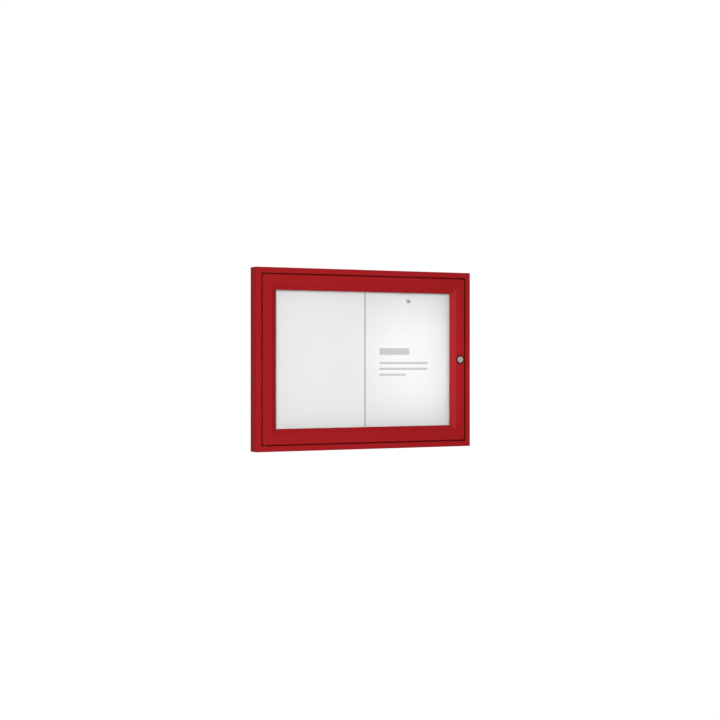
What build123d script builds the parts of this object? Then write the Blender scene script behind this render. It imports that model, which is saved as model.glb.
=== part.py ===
"""Wall-mounted notice board display case with a glazed, locking door.

Two rings of mitred hollow aluminium bars. The outer ring is the case and holds a steel
back panel. The inner ring is the door: it holds the glass, swings on two concealed pins
near its left edge and locks at its right edge with a cam lock.

Millimetres. The origin is the centre of the rear face that meets the wall, +X is to the
right, +Y goes into the wall and +Z is up, so the glass faces -Y.
"""
import os

from build123d import *

os.makedirs("parts", exist_ok=True)

# Case bars
case_width = 524.5
case_height = 394.5
case_wall = 1.8
rim_width = 12.3
rim_round = 1.2
edge_round = 0.5
stop_land = 21.0
seal_gap = 2.0
cavity_depth = 8.7
ledge_thickness = 2.0
ledge_reach = 10.0

# Door bars
door_gap = 3.0
door_wall = 1.6
door_flat = 20.6
door_round = 0.8
bevel_width = 12.3
bevel_drop = 6.5
bevel_round = 3.0
nose_round = 0.6
lip_depth = 3.5
rebate_wall = 1.6
rebate_setback = 0.4

# Glazing
gasket_thickness = 0.8
gasket_setback = 0.4
glass_thickness = 3.0
glass_play = 0.8
bead_thickness = 2.2
bead_width = 8.5
bead_nose = 1.0
bead_fit = 0.05
tongue_thickness = 0.8
tongue_depth = 0.7
tongue_play = 0.1

# Back panel and what hangs on it
panel_thickness = 1.5
panel_play = 0.3
wall_hole_radius = 2.75
wall_hole_inset = 37.25
sheet_width = 210.0
sheet_height = 297.0
sheet_thickness = 0.25
sheet_offset = 8.7
magnet_foot_radius = 5.2
magnet_foot_height = 2.0
magnet_grip_radius = 2.5
magnet_waist_radius = 1.7
magnet_grip_height = 9.5
magnet_flange = 1.2
magnet_cap = 2.8
magnet_cap_bevel = 0.7
magnet_drop = 18.1
magnet_shift = 2.5

# Seal between the stop flange and the door
seal_width = 5.0
seal_setback = 0.5
seal_squeeze_room = 0.2

# Corner keys and screws
key_fit = 0.1
key_chamfer = 1.2
case_key_leg = 40.0
case_key_screw_at = 32.0
door_key_leg = 46.0
door_key_screw_at = 36.0
screw_fit = 0.1
case_screw_radius = 2.0
case_screw_head_radius = 3.5
case_screw_head_height = 2.0
case_screw_length = 10.0
door_screw_radius = 1.5
door_screw_head_radius = 2.8
door_screw_length = 9.0
panel_screw_radius = 1.5
panel_screw_head_radius = 2.7
panel_screw_length = 5.0
panel_screw_inset = 6.4
panel_screw_spacing = 200.0

# Concealed pivots
pivot_inset = 6.0
pivot_depth = 5.5
pin_radius = 2.0
pin_in_case = 8.0
pin_in_door = 9.0
pin_chamfer = 0.5
pin_press_play = 0.02
pin_running_play = 0.05
pin_end_play = 0.2
bush_wall = 1.0
bush_length = 11.5
bush_flange_radius = 3.6
bush_axial_play = 0.3

# Cam lock
lock_inset = 11.2
lock_barrel_radius = 6.0
lock_head_radius = 6.8
lock_head_height = 1.2
lock_head_round = 0.4
lock_hole_play = 0.1
lock_washer_radius = 10.6
lock_washer_height = 1.0
lock_nut_flats = 15.0
lock_nut_height = 2.4
plug_radius = 4.75
plug_rim_radius = 5.6
plug_rim_height = 0.6
plug_recess = 0.3
plug_running_play = 0.05
plug_axial_play = 0.2
keyway_width = 1.7
keyway_height = 7.2
keyway_depth = 12.0
keyway_tilt = 35.0
cam_clearance = 0.4
cam_thickness = 1.6
cam_reach = 21.0
cam_width = 8.0
cam_hub_radius = 6.2
cam_square = 5.6
cam_screw_radius = 1.5
cam_screw_head_radius = 3.6
cam_screw_head_height = 1.8
cam_screw_length = 6.0
cam_fit = 0.05
notch_play = 0.9

# Depths behind the front plane of the case
lip_rear = bevel_drop + lip_depth
glass_front = lip_rear + gasket_thickness
glass_rear = glass_front + glass_thickness
door_depth = glass_rear + bead_thickness
stop_front = door_depth + seal_gap
stop_rear = stop_front + case_wall
ledge_front = stop_rear + cavity_depth
ledge_rear = ledge_front + ledge_thickness
case_depth = ledge_rear + panel_thickness
sheet_front = ledge_rear - sheet_thickness
cam_front = stop_rear + cam_clearance
lock_head_rear = -lock_washer_height
lock_head_front = lock_head_rear - lock_head_height
lock_barrel_rear = cam_front - plug_axial_play
plug_front = lock_head_front + plug_recess
plug_rim_rear = plug_front + plug_rim_height

# Distances in from the outer edges of the case and of the door
stop_reach = rim_width + stop_land
case_chamber = rim_width - 2 * case_wall
case_key_middle = case_wall + case_chamber / 2
door_edge = rim_width + door_gap
rebate_edge = door_flat - rebate_setback
door_chamber = rebate_edge - rebate_wall - door_wall
door_key_middle = door_wall + door_chamber / 2
window_edge = door_flat + bevel_width
glass_edge = rebate_edge + glass_play
tongue_middle = glass_rear + bead_thickness / 2

# Overall sizes and places
front_y = -case_depth
door_width = case_width - 2 * door_edge
door_height = case_height - 2 * door_edge
pivot_x = -door_width / 2 + pivot_inset
pivot_y = front_y + pivot_depth
lock_x = door_width / 2 - lock_inset
nut_corner = lock_nut_flats / 3**0.5
bush_radius = pin_radius + pin_running_play + bush_wall
sheet_x = sheet_offset + sheet_width / 2
magnet_x = sheet_x + magnet_shift
magnet_z = sheet_height / 2 - magnet_drop

SIDES = {"top": "rail", "bottom": "rail", "left": "stile", "right": "stile"}
CORNERS = {"top_left": (-1, 1), "top_right": (1, 1), "bottom_left": (-1, -1), "bottom_right": (1, -1)}
PIVOTS = {"top": 1, "bottom": -1}
INTO_WALL = (0, 1, 0)


def section_plane(side, width, height):
    """Section plane of a bar: local x runs in from the ring's outer edge, local y runs back."""
    planes = {
        "top": Plane(origin=(0, front_y, height / 2), x_dir=(0, 0, -1), z_dir=(1, 0, 0)),
        "bottom": Plane(origin=(0, front_y, -height / 2), x_dir=(0, 0, 1), z_dir=(-1, 0, 0)),
        "left": Plane(origin=(-width / 2, front_y, 0), x_dir=(1, 0, 0), z_dir=(0, 0, 1)),
        "right": Plane(origin=(width / 2, front_y, 0), x_dir=(-1, 0, 0), z_dir=(0, 0, -1)),
    }
    return planes[side]


def mitre_planes(section, length):
    """The two 45 degree planes that cut a bar's ends, facing away from the bar."""
    for end in (1, -1):
        along = section.z_dir * end
        yield Plane(origin=section.origin + along * (length / 2), z_dir=along + section.x_dir)


def bar_face(section, depth):
    """Plane across a bar at a depth: local x runs in from the outer edge, the normal is +Y."""
    return Plane(origin=section.origin + section.y_dir * depth, x_dir=section.x_dir, z_dir=INTO_WALL)


def corner_plane(corner, width, height, depth):
    """Plane at a ring's corner: local x and y run in along the two bars that meet there."""
    right, up = CORNERS[corner]
    origin = (right * width / 2, front_y + depth, up * height / 2)
    return Plane(origin=origin, x_dir=(-right, 0, 0), z_dir=(0, -right * up, 0))


def front_plane(depth, x=0.0, z=0.0):
    """Plane seen from the front, at a depth: local x is +X, local y is +Z, the normal is -Y."""
    return Plane(origin=(x, front_y + depth, z), x_dir=(1, 0, 0), z_dir=(0, -1, 0))


def lathe_plane(x=0.0, z=0.0):
    """Plane for a turned piece with a Y axis: local x is the radius, local y the depth."""
    return Plane(origin=(x, front_y, z), x_dir=(1, 0, 0), z_dir=(0, 0, 1))


def depth_axis(x=0.0, z=0.0):
    """Axis that runs straight back from the front plane."""
    return Axis((x, front_y, z), INTO_WALL)


def pivot_plane(up, height):
    """Level plane on the pivot axis, at the upper or lower edge of a ring."""
    return Plane((pivot_x, pivot_y, up * height / 2))


def save(solid, name):
    """Label a finished piece and write it."""
    solid.label = name
    export_step(solid, f"parts/{name}.step")


def key_screw_places(width, height, middle, along, depth):
    """Places of the two screws in each of a ring's four corners."""
    for right, up in CORNERS.values():
        yield Location((right * (width / 2 - along), front_y + depth, up * (height / 2 - middle)))
        yield Location((right * (width / 2 - middle), front_y + depth, up * (height / 2 - along)))


def panel_screw_places():
    """Places of the screws along the edges of the back panel."""
    for up in (1, -1):
        for column in (-1, 0, 1):
            yield Location((column * panel_screw_spacing, 0, up * (case_height / 2 - panel_screw_inset)))
    for right in (1, -1):
        for row in (-0.5, 0.5):
            yield Location((right * (case_width / 2 - panel_screw_inset), 0, row * panel_screw_spacing))


# Case bars: a closed chamber behind the rim, the door's stop flange and the back panel's ledge
def case_bar(side):
    upright = SIDES[side] == "stile"
    length = case_height if upright else case_width
    section = section_plane(side, case_width, case_height)
    panel_screw_rows = (-0.5, 0.5) if upright else (-1, 0, 1)
    with BuildPart() as bar:
        with BuildSketch(section) as profile:
            with BuildLine():
                Polyline(
                    (0, 0),
                    (rim_width, 0),
                    (rim_width, stop_front),
                    (stop_reach, stop_front),
                    (stop_reach, stop_rear),
                    (case_wall, stop_rear),
                    (case_wall, ledge_front),
                    (ledge_reach, ledge_front),
                    (ledge_reach, ledge_rear),
                    (case_wall, ledge_rear),
                    (case_wall, case_depth),
                    (0, case_depth),
                    close=True,
                )
            make_face()
            fillet(profile.vertices().sort_by_distance((0, 0))[0], rim_round)
            fillet(profile.vertices().sort_by_distance((rim_width, 0))[0], edge_round)
            with Locations((case_key_middle, (case_wall + stop_front) / 2)):
                Rectangle(case_chamber, stop_front - case_wall, mode=Mode.SUBTRACT)
        extrude(amount=length / 2, both=True)
        for cut in mitre_planes(section, length):
            split(bisect_by=cut, keep=Keep.BOTTOM)
        with BuildSketch(bar_face(section, stop_rear)):
            for end in (1, -1):
                with Locations((case_key_middle, end * (length / 2 - case_key_screw_at))):
                    Circle(case_screw_radius + screw_fit)
        extrude(amount=-case_wall, mode=Mode.SUBTRACT)
        with BuildSketch(bar_face(section, ledge_rear)):
            for row in panel_screw_rows:
                with Locations((panel_screw_inset, row * panel_screw_spacing)):
                    Circle(panel_screw_radius + screw_fit)
        extrude(amount=-ledge_thickness, mode=Mode.SUBTRACT)
        if side in PIVOTS:
            up = PIVOTS[side]
            with BuildSketch(pivot_plane(up, case_height - 2 * rim_width)):
                Circle(pin_radius + pin_press_play)
            extrude(amount=up * case_wall, mode=Mode.SUBTRACT)
        if side == "right":
            notch_outer = door_edge + lock_inset - lock_nut_flats / 2 - notch_play
            notch_top = nut_corner + notch_play
            notch_bottom = -cam_reach - notch_play
            with BuildSketch(bar_face(section, stop_rear)):
                with Locations(((notch_outer + stop_reach) / 2, (notch_top + notch_bottom) / 2)):
                    Rectangle(stop_reach - notch_outer, notch_top - notch_bottom)
            extrude(amount=-case_wall, mode=Mode.SUBTRACT)
    return bar.part


for side, kind in SIDES.items():
    save(case_bar(side), f"case_{kind}_{side}")


# Door bars: a flat face, a bevel down to the window and a rebate for the glass
def door_bar(side):
    upright = SIDES[side] == "stile"
    length = door_height if upright else door_width
    section = section_plane(side, door_width, door_height)
    bevel_slope = bevel_drop / bevel_width
    bevel_cover = door_wall * (1 + bevel_slope**2) ** 0.5
    nose_end = bevel_width - 2 * door_wall
    nose_floor = bevel_slope * nose_end + bevel_cover
    with BuildPart() as bar:
        with BuildSketch(section) as profile:
            with BuildLine():
                Polyline(
                    (0, 0),
                    (door_flat, 0),
                    (window_edge, bevel_drop),
                    (window_edge, lip_rear),
                    (rebate_edge, lip_rear),
                    (rebate_edge, door_depth),
                    (0, door_depth),
                    close=True,
                )
            make_face()
            fillet(profile.vertices().sort_by_distance((0, 0))[0], door_round)
            fillet(profile.vertices().sort_by_distance((door_flat, 0))[0], bevel_round)
            fillet(profile.vertices().sort_by_distance((window_edge, bevel_drop))[0], nose_round)
            with Locations((door_key_middle, door_depth / 2)):
                Rectangle(door_chamber, door_depth - 2 * door_wall, mode=Mode.SUBTRACT)
            with BuildLine():
                Polyline(
                    (rebate_edge, bevel_cover - bevel_slope * rebate_setback),
                    (rebate_edge, nose_floor),
                    (door_flat + nose_end, nose_floor),
                    close=True,
                )
            make_face(mode=Mode.SUBTRACT)
            with Locations((rebate_edge, tongue_middle)):
                Rectangle(
                    2 * (tongue_depth + tongue_play),
                    tongue_thickness + 2 * tongue_play,
                    mode=Mode.SUBTRACT,
                )
        extrude(amount=length / 2, both=True)
        for cut in mitre_planes(section, length):
            split(bisect_by=cut, keep=Keep.BOTTOM)
        for end in (1, -1):
            with BuildSketch(bar_face(section, door_depth)):
                with Locations((door_key_middle, end * (length / 2 - door_key_screw_at))):
                    Circle(door_screw_head_radius + screw_fit)
            extrude(amount=-(door_screw_head_radius - door_screw_radius), taper=45, mode=Mode.SUBTRACT)
            with BuildSketch(bar_face(section, door_depth)):
                with Locations((door_key_middle, end * (length / 2 - door_key_screw_at))):
                    Circle(door_screw_radius + screw_fit)
            extrude(amount=-door_wall, mode=Mode.SUBTRACT)
        if side in PIVOTS:
            up = PIVOTS[side]
            with BuildSketch(pivot_plane(up, door_height)):
                Circle(bush_radius + pin_press_play)
            extrude(amount=-up * door_wall, mode=Mode.SUBTRACT)
        if side == "right":
            with BuildSketch(front_plane(0, lock_x)):
                Circle(lock_barrel_radius + lock_hole_play)
            extrude(amount=-door_depth, mode=Mode.SUBTRACT)
    return bar.part


for side, kind in SIDES.items():
    save(door_bar(side), f"door_{kind}_{side}")


# Corner keys: L-shaped blocks that fill the chambers at a mitre and take two screws
def case_key(corner):
    start = case_wall + key_fit
    end = case_wall + case_chamber - key_fit
    depth = stop_front - case_wall - 2 * key_fit
    with BuildPart() as key:
        with BuildSketch(corner_plane(corner, case_width, case_height, start)) as shape:
            with BuildLine():
                Polyline(
                    (start, start),
                    (case_key_leg, start),
                    (case_key_leg, end),
                    (end, end),
                    (end, case_key_leg),
                    (start, case_key_leg),
                    close=True,
                )
            make_face()
            tips = [v for v in shape.vertices() if max(v.X, v.Y) > case_key_leg - key_chamfer]
            chamfer(tips, key_chamfer)
        extrude(amount=depth, dir=INTO_WALL)
        with BuildSketch(corner_plane(corner, case_width, case_height, start + depth)):
            with Locations((case_key_screw_at, case_key_middle), (case_key_middle, case_key_screw_at)):
                Circle(case_screw_radius + screw_fit)
        extrude(amount=case_screw_length, dir=(0, -1, 0), mode=Mode.SUBTRACT)
        if corner.endswith("left"):
            up = CORNERS[corner][1]
            with BuildSketch(pivot_plane(up, case_height - 2 * rim_width)):
                Circle(pin_radius + pin_press_play)
            extrude(amount=up * (pin_in_case + pin_end_play), mode=Mode.SUBTRACT)
    return key.part


def door_key(corner):
    start = door_wall + key_fit
    end = door_wall + door_chamber - key_fit
    depth = door_depth - 2 * door_wall - 2 * key_fit
    with BuildPart() as key:
        with BuildSketch(corner_plane(corner, door_width, door_height, start)) as shape:
            with BuildLine():
                Polyline(
                    (start, start),
                    (door_key_leg, start),
                    (door_key_leg, end),
                    (end, end),
                    (end, door_key_leg),
                    (start, door_key_leg),
                    close=True,
                )
            make_face()
            tips = [v for v in shape.vertices() if max(v.X, v.Y) > door_key_leg - key_chamfer]
            chamfer(tips, key_chamfer)
        extrude(amount=depth, dir=INTO_WALL)
        with BuildSketch(corner_plane(corner, door_width, door_height, start + depth)):
            with Locations((door_key_screw_at, door_key_middle), (door_key_middle, door_key_screw_at)):
                Circle(door_screw_radius + screw_fit)
        extrude(amount=door_screw_length, dir=(0, -1, 0), mode=Mode.SUBTRACT)
        if corner.endswith("left"):
            up = CORNERS[corner][1]
            with BuildSketch(pivot_plane(up, door_height)):
                Circle(bush_radius + pin_press_play)
            extrude(amount=-up * (bush_length + pin_end_play), mode=Mode.SUBTRACT)
    return key.part


for corner in CORNERS:
    save(case_key(corner), f"case_key_{corner}")
    save(door_key(corner), f"door_key_{corner}")


# Screws: pan heads behind the stop flange, countersunk heads flush in the door and the panel
with BuildPart() as pan_screw:
    with BuildSketch(Plane.XZ):
        Circle(case_screw_head_radius)
    extrude(amount=case_screw_head_height, dir=INTO_WALL)
    chamfer(pan_screw.edges().group_by(Axis.Y)[-1], case_screw_head_height / 3)
    with BuildSketch(Plane.XZ):
        Circle(case_screw_radius)
    extrude(amount=case_screw_length, dir=(0, -1, 0))


def countersunk_screw(radius, head_radius, length):
    with BuildPart() as screw:
        with BuildSketch(Plane.XY):
            with BuildLine():
                Polyline(
                    (0, 0),
                    (head_radius, 0),
                    (radius, radius - head_radius),
                    (radius, -length),
                    (0, -length),
                    close=True,
                )
            make_face()
        revolve(axis=Axis.Y)
    return screw.part


door_screw = countersunk_screw(door_screw_radius, door_screw_head_radius, door_screw_length)
panel_screw = countersunk_screw(panel_screw_radius, panel_screw_head_radius, panel_screw_length)

with BuildPart() as case_corner_screws:
    with Locations(
        *key_screw_places(case_width, case_height, case_key_middle, case_key_screw_at, stop_rear)
    ):
        add(pan_screw.part)
save(case_corner_screws.part, "case_corner_screws")

with BuildPart() as door_corner_screws:
    with Locations(
        *key_screw_places(door_width, door_height, door_key_middle, door_key_screw_at, door_depth)
    ):
        add(door_screw)
save(door_corner_screws.part, "door_corner_screws")

with BuildPart() as back_panel_screws:
    with Locations(*panel_screw_places()):
        add(panel_screw)
save(back_panel_screws.part, "back_panel_screws")

# Back panel: magnetic steel sheet, flush with the rear of the case, with four wall holes
with BuildPart() as back_panel:
    with BuildSketch(front_plane(case_depth)):
        Rectangle(
            case_width - 2 * (case_wall + panel_play),
            case_height - 2 * (case_wall + panel_play),
        )
        with GridLocations(case_width - 2 * wall_hole_inset, case_height - 2 * wall_hole_inset, 2, 2):
            Circle(wall_hole_radius, mode=Mode.SUBTRACT)
    extrude(amount=panel_thickness)
    for place in panel_screw_places():
        with BuildSketch(front_plane(case_depth, place.position.X, place.position.Z)):
            Circle(panel_screw_head_radius + screw_fit)
        extrude(amount=panel_screw_head_radius - panel_screw_radius, taper=45, mode=Mode.SUBTRACT)
        with BuildSketch(front_plane(case_depth, place.position.X, place.position.Z)):
            Circle(panel_screw_radius + screw_fit)
        extrude(amount=panel_thickness, mode=Mode.SUBTRACT)
save(back_panel.part, "back_panel")

# Door seal: a rubber strip round the stop flange, cut away where the lock passes through it
seal_outer = stop_reach - seal_setback - seal_width
seal_inner = stop_reach - seal_setback
with BuildPart() as door_seal:
    with BuildSketch(front_plane(stop_front)):
        Rectangle(case_width - 2 * seal_outer, case_height - 2 * seal_outer)
        Rectangle(case_width - 2 * seal_inner, case_height - 2 * seal_inner, mode=Mode.SUBTRACT)
        with Locations((case_width / 2 - stop_reach, (nut_corner - cam_reach) / 2)):
            Rectangle(
                2 * stop_land,
                nut_corner + cam_reach + 2 * notch_play,
                mode=Mode.SUBTRACT,
            )
    extrude(amount=seal_gap - seal_squeeze_room)
save(door_seal.part, "door_seal")

# Concealed pivots: pins fast in the case's keys, flanged bushes in the door's keys
for side, up in PIVOTS.items():
    with BuildPart() as pin:
        with BuildSketch(pivot_plane(up, case_height - 2 * (rim_width - pin_in_case))):
            Circle(pin_radius)
        extrude(amount=-up * (pin_in_case + door_gap + pin_in_door))
        chamfer(pin.edges().filter_by(GeomType.CIRCLE), pin_chamfer)
    save(pin.part, f"pivot_pin_{side}")

    with BuildPart() as bush:
        with BuildSketch(pivot_plane(up, door_height)):
            Circle(bush_radius)
        extrude(amount=-up * bush_length)
        with BuildSketch(pivot_plane(up, door_height)):
            Circle(bush_flange_radius)
        extrude(amount=up * (door_gap - bush_axial_play))
        with BuildSketch(pivot_plane(up, door_height + 2 * door_gap)):
            Circle(pin_radius + pin_running_play)
        extrude(amount=-up * (door_gap + bush_length), mode=Mode.SUBTRACT)
    save(bush.part, f"pivot_bush_{side}")

# Glazing: gasket behind the lip, glass, and four beads that hook into the rebate
with BuildPart() as glazing_gasket:
    with BuildSketch(front_plane(glass_front)):
        Rectangle(door_width - 2 * glass_edge, door_height - 2 * glass_edge)
        Rectangle(
            door_width - 2 * (window_edge - gasket_setback),
            door_height - 2 * (window_edge - gasket_setback),
            mode=Mode.SUBTRACT,
        )
    extrude(amount=gasket_thickness)
save(glazing_gasket.part, "glazing_gasket")

with BuildPart() as door_glass:
    with BuildSketch(front_plane(glass_rear)):
        Rectangle(door_width - 2 * glass_edge, door_height - 2 * glass_edge)
    extrude(amount=glass_thickness)
save(door_glass.part, "door_glass")


def glazing_bead(side):
    length = door_height if SIDES[side] == "stile" else door_width
    section = section_plane(side, door_width, door_height)
    root = rebate_edge + bead_fit
    tip = rebate_edge + bead_width
    with BuildPart() as bead:
        with BuildSketch(section):
            with BuildLine():
                Polyline(
                    (root, glass_rear),
                    (tip, glass_rear),
                    (tip, glass_rear + bead_nose),
                    (tip - (bead_thickness - bead_nose), door_depth),
                    (root, door_depth),
                    (root, tongue_middle + tongue_thickness / 2),
                    (rebate_edge - tongue_depth, tongue_middle + tongue_thickness / 2),
                    (rebate_edge - tongue_depth, tongue_middle - tongue_thickness / 2),
                    (root, tongue_middle - tongue_thickness / 2),
                    close=True,
                )
            make_face()
        extrude(amount=length / 2, both=True)
        for cut in mitre_planes(section, length):
            split(bisect_by=cut, keep=Keep.BOTTOM)
    return bead.part


for side in SIDES:
    save(glazing_bead(side), f"glazing_bead_{side}")

# Cam lock body: rubber washer, turned housing and the nut that clamps it to the door
with BuildPart() as lock_washer:
    with BuildSketch(front_plane(0, lock_x)):
        Circle(lock_washer_radius)
        Circle(lock_barrel_radius + lock_hole_play, mode=Mode.SUBTRACT)
    extrude(amount=lock_washer_height)
save(lock_washer.part, "lock_washer")

plug_bore = plug_radius + plug_running_play
plug_rim_bore = plug_rim_radius + plug_running_play
with BuildPart() as lock_housing:
    with BuildSketch(lathe_plane(lock_x)) as housing_profile:
        with BuildLine():
            Polyline(
                (plug_rim_bore, lock_head_front),
                (lock_head_radius, lock_head_front),
                (lock_head_radius, lock_head_rear),
                (lock_barrel_radius, lock_head_rear),
                (lock_barrel_radius, lock_barrel_rear),
                (plug_bore, lock_barrel_rear),
                (plug_bore, plug_rim_rear + plug_axial_play),
                (plug_rim_bore, plug_rim_rear + plug_axial_play),
                close=True,
            )
        make_face()
        fillet(
            housing_profile.vertices().sort_by_distance((lock_head_radius, lock_head_front))[0],
            lock_head_round,
        )
    revolve(axis=depth_axis(lock_x))
save(lock_housing.part, "lock_housing")

nut_rear = door_depth + lock_nut_height
nut_bevel = (nut_corner - lock_nut_flats / 2) / 3**0.5
with BuildPart() as lock_nut:
    with BuildSketch(front_plane(nut_rear, lock_x)):
        RegularPolygon(radius=nut_corner, side_count=6, rotation=30)
        Circle(lock_barrel_radius + lock_hole_play, mode=Mode.SUBTRACT)
    extrude(amount=lock_nut_height)
    with BuildSketch(lathe_plane(lock_x)):
        with BuildLine():
            Polyline(
                (0, door_depth),
                (nut_corner, door_depth),
                (nut_corner, nut_rear - nut_bevel),
                (lock_nut_flats / 2, nut_rear),
                (0, nut_rear),
                close=True,
            )
        make_face()
    revolve(axis=depth_axis(lock_x), mode=Mode.INTERSECT)
save(lock_nut.part, "lock_nut")

# Cam lock core: plug with its keyway, cam on the plug's square end, and the cam's screw
cam_rear = cam_front + cam_thickness
with BuildPart() as lock_plug:
    with BuildSketch(lathe_plane(lock_x)):
        with BuildLine():
            Polyline(
                (0, plug_front),
                (plug_rim_radius, plug_front),
                (plug_rim_radius, plug_rim_rear),
                (plug_radius, plug_rim_rear),
                (plug_radius, cam_front),
                (0, cam_front),
                close=True,
            )
        make_face()
    revolve(axis=depth_axis(lock_x))
    with BuildSketch(front_plane(cam_front, lock_x)):
        Rectangle(cam_square, cam_square)
    extrude(amount=-cam_thickness)
    with BuildSketch(front_plane(cam_rear, lock_x)):
        Circle(cam_screw_radius + cam_fit)
    extrude(amount=cam_screw_length, mode=Mode.SUBTRACT)
    with BuildSketch(front_plane(plug_front, lock_x)):
        Rectangle(keyway_width, keyway_height, rotation=keyway_tilt)
    extrude(amount=-keyway_depth, mode=Mode.SUBTRACT)
save(lock_plug.part, "lock_plug")

with BuildPart() as lock_cam:
    with BuildSketch(front_plane(cam_front, lock_x)):
        Circle(cam_hub_radius)
        with Locations((0, -(cam_reach - cam_width / 2) / 2)):
            Rectangle(cam_width, cam_reach - cam_width / 2)
        with Locations((0, -(cam_reach - cam_width / 2))):
            Circle(cam_width / 2)
        Rectangle(cam_square + 2 * cam_fit, cam_square + 2 * cam_fit, mode=Mode.SUBTRACT)
    extrude(amount=-cam_thickness)
save(lock_cam.part, "lock_cam")

with BuildPart() as cam_screw:
    with BuildSketch(front_plane(cam_rear, lock_x)):
        Circle(cam_screw_head_radius)
    extrude(amount=-cam_screw_head_height)
    chamfer(cam_screw.edges().group_by(Axis.Y)[-1], cam_screw_head_height / 3)
    with BuildSketch(front_plane(cam_rear, lock_x)):
        Circle(cam_screw_radius)
    extrude(amount=cam_screw_length)
save(cam_screw.part, "cam_screw")

# Notice sheet and the pin-shaped magnet that holds it to the panel
with BuildPart() as notice_sheet:
    with BuildSketch(front_plane(ledge_rear, sheet_x)):
        Rectangle(sheet_width, sheet_height)
    extrude(amount=sheet_thickness)
save(notice_sheet.part, "notice_sheet")

magnet_foot_front = sheet_front - magnet_foot_height
with BuildPart() as magnet_foot:
    with BuildSketch(front_plane(sheet_front, magnet_x, magnet_z)):
        Circle(magnet_foot_radius)
    extrude(amount=magnet_foot_height)
    chamfer(magnet_foot.edges().group_by(Axis.Y)[0], magnet_foot_height / 4)
save(magnet_foot.part, "magnet_foot")

with BuildPart() as magnet_grip:
    with BuildSketch(lathe_plane(magnet_x, magnet_z)):
        with BuildLine():
            Polyline(
                (0, magnet_foot_front),
                (magnet_grip_radius, magnet_foot_front),
                (magnet_grip_radius, magnet_foot_front - magnet_flange),
                (magnet_waist_radius, magnet_foot_front - magnet_grip_height / 3),
                (magnet_waist_radius, magnet_foot_front - magnet_grip_height / 2),
                (magnet_grip_radius, magnet_foot_front - magnet_grip_height + magnet_cap),
                (magnet_grip_radius, magnet_foot_front - magnet_grip_height + magnet_cap_bevel),
                (magnet_grip_radius - magnet_cap_bevel, magnet_foot_front - magnet_grip_height),
                (0, magnet_foot_front - magnet_grip_height),
                close=True,
            )
        make_face()
    revolve(axis=depth_axis(magnet_x, magnet_z))
save(magnet_grip.part, "magnet_grip")
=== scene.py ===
"""Looks of a wall-mounted notice case: its finishes, its small modelled pieces, light and camera."""
import math
from functools import cache

import bpy
from bpy.props import FloatProperty, FloatVectorProperty, IntProperty, PointerProperty
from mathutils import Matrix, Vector


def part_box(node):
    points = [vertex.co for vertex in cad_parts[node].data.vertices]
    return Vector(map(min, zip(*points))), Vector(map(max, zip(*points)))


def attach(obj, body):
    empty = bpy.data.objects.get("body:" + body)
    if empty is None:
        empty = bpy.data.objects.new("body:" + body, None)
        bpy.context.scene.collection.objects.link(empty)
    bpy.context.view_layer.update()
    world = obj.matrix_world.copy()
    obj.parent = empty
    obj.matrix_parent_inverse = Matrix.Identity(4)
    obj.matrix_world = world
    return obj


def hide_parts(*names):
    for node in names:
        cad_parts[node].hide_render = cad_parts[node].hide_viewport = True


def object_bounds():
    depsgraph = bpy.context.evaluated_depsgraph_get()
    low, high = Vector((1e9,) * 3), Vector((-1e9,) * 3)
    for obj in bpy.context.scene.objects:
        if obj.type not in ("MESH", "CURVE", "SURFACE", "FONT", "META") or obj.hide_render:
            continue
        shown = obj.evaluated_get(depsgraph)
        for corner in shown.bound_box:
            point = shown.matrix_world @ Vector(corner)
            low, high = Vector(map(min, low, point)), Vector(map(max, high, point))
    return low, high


bl_info = {
    "name": "Notice board display case",
    "version": (1, 0, 0),
    "blender": (4, 5, 0),
    "location": "3D View > Sidebar > Notice case",
    "description": "Finishes, fasteners, seal, lock details and studio of a red notice board display case",
    "category": "Object",
}

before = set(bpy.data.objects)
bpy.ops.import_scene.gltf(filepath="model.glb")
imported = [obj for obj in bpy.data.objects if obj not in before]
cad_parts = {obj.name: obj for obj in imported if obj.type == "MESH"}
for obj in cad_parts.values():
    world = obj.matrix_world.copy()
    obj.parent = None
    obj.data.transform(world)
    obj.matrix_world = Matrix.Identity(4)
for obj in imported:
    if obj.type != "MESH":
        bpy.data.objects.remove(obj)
CAD_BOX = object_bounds()

MM = 0.001
SIDES = ("rail_top", "rail_bottom", "stile_left", "stile_right")
CORNERS = ("top_left", "top_right", "bottom_left", "bottom_right")
HALF_WIDTH = CAD_BOX[1][0]
HALF_HEIGHT = CAD_BOX[1][2]
# How much of a face's normal lies along an axis that the face looks along
FACING = 0.9
# Distance from ring to ring of a wave texture whose scale is 1
WAVE_SPACING = 0.314
# Radians from one screw's recess to the next one's
SCREW_TURN = 0.7


def linear(code):
    """Linear colour of an sRGB hex value."""
    channels = [int(code[start:start + 2], 16) / 255 for start in (1, 3, 5)]
    shades = [c / 12.92 if c <= 0.04045 else ((c + 0.055) / 1.055) ** 2.4 for c in channels]
    return (*shades, 1.0)


def middle(node):
    """Middle of a node's box."""
    low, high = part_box(node)
    return (Vector(low) + Vector(high)) / 2


def colour(name, code, description):
    """A colour that a user can change."""
    return FloatVectorProperty(
        name=name, description=description, default=linear(code), size=4, subtype="COLOR", min=0.0, max=1.0
    )


def length(name, millimetres, description):
    """A length that a user can change."""
    return FloatProperty(
        name=name, description=description, default=millimetres * MM, unit="LENGTH", precision=5, min=0.0
    )


def point(name, millimetres, description):
    """A point that a user can change."""
    metres = [distance * MM for distance in millimetres]
    return FloatVectorProperty(
        name=name, description=description, default=metres, size=3, subtype="TRANSLATION", unit="LENGTH"
    )


def angle(name, degrees, description):
    """An angle that a user can change."""
    return FloatProperty(name=name, description=description, default=math.radians(degrees), subtype="ANGLE")


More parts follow.
